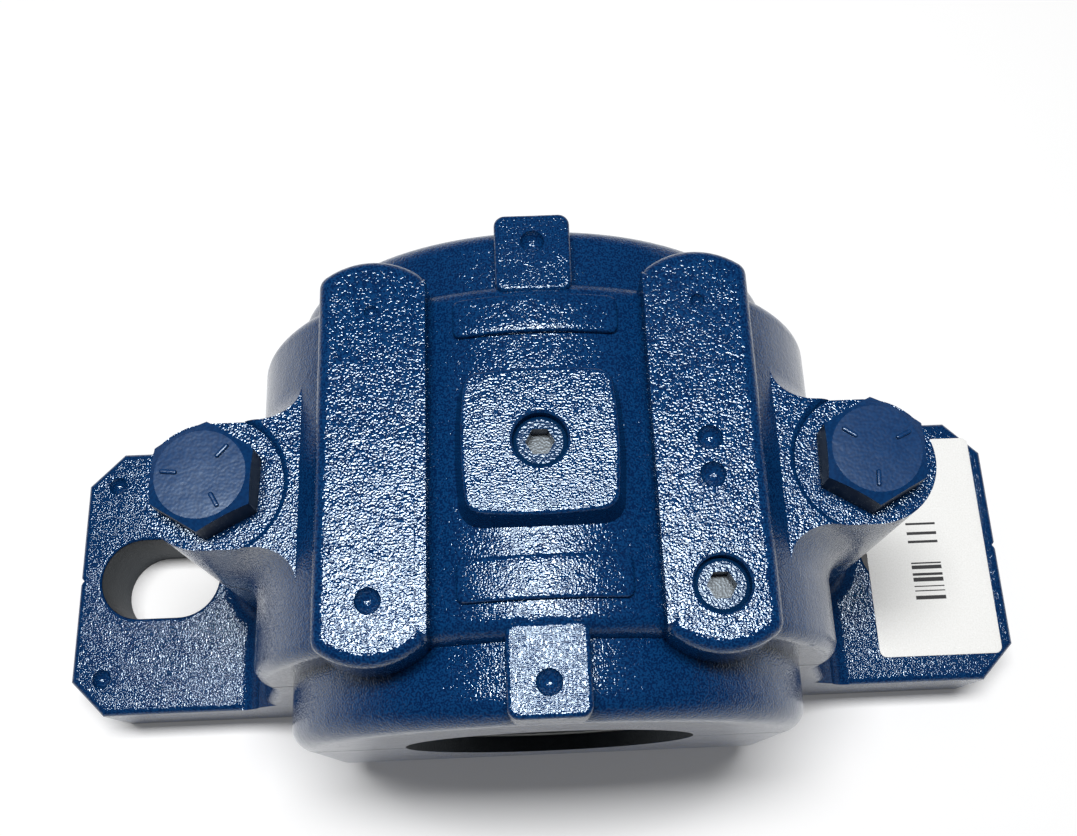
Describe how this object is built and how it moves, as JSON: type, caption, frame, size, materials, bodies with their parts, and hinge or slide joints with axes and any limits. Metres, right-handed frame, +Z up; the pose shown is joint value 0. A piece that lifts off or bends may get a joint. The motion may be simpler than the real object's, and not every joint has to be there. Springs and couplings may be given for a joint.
{
  "type": "split plummer block",
  "caption": "Split plummer block: cast housing with bolted cap, slotted foot, and a self-aligning roller bearing on a tapered adapter sleeve.",
  "frame": {"origin": "middle of the machined base face", "axes": "+X along the base, +Y along the shaft towards the lock nut, +Z up"},
  "size_m": [0.2444, 0.0978, 0.131],
  "materials": {
    "housing_enamel": "glossy dark blue enamel over sand-cast iron",
    "bolt_enamel": "glossy dark blue enamel over a forged bolt head",
    "plug_enamel": "blue enamel over steel, bare in the socket",
    "pin_steel": "ground steel",
    "race_steel": "ground bearing steel",
    "roller_steel": "lapped bearing steel",
    "cage_steel": "pressed sheet steel",
    "turned_steel": "turned steel",
    "sleeve_steel": "turned steel, lightly oiled",
    "washer_steel": "punched sheet steel",
    "nut_steel": "blackened turned steel",
    "seal_aluminium": "turned aluminium",
    "cord_rubber": "moulded nitrile rubber"
  },
  "bodies": {
    "housing": {"housing_base": "housing_enamel", "housing_cap": "housing_enamel", "cap_bolts": "bolt_enamel", "dowel_pins": "pin_steel", "pipe_plugs": "plug_enamel", "outer_ring": "race_steel", "stabilizing_ring": "turned_steel"},
    "rotor": {"inner_ring": "race_steel", "adapter_sleeve": "sleeve_steel", "tab_washer": "washer_steel", "lock_nut": "nut_steel", "seal_ring_front": "seal_aluminium", "seal_ring_back": "seal_aluminium", "seal_cord_front": "cord_rubber", "seal_cord_back": "cord_rubber"},
    "roller_set": {"roller_row_front": "roller_steel", "roller_row_back": "roller_steel", "cage_front": "cage_steel", "cage_back": "cage_steel", "guide_ring": "turned_steel"}
  },
  "joints": [
    {"name": "shaft_spin", "type": "hinge", "parent": "housing", "child": "rotor", "pos_m": [0, 0, 0.06985], "axis": [0, 1, 0], "continuous": true},
    {"name": "cage_spin", "type": "hinge", "parent": "housing", "child": "roller_set", "pos_m": [0, 0, 0.06985], "axis": [0, 1, 0], "continuous": true}
  ],
  "couplings": [
    {"joint": "cage_spin", "follows": "shaft_spin", "ratio": 0.42305}
  ]
}
